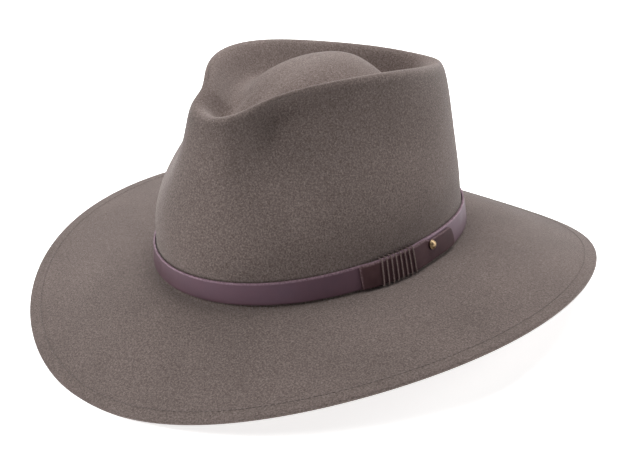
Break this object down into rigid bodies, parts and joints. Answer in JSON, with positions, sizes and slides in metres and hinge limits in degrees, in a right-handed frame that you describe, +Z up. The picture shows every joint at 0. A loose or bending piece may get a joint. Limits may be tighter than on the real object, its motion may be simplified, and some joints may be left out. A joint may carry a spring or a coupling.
{
  "type": "bush hat",
  "caption": "Wide-brimmed felt hat with a teardrop crown, pinched front, dipped brim and a leather band closed by a wound thread and a stud.",
  "frame": {"origin": "middle of the overall box, on the plane that the brim's front and back edges rest on", "axes": "+Z up through the crown, -Y to the front of the hat, +X to the wearer's left"},
  "size_m": [0.3406, 0.3619, 0.1504],
  "materials": {
    "felt": "short napped wool felt, matt",
    "strap_leather": "smooth finished leather with a soft sheen",
    "tab_leather": "smooth finished leather, a little darker",
    "thread": "waxed twisted thread",
    "brass": "worn polish"
  },
  "bodies": {
    "root": {"felt_body": "felt", "hat_band": "strap_leather", "band_tab": "tab_leather", "thread_wrap": "thread", "stud": "brass"}
  },
  "joints": []
}
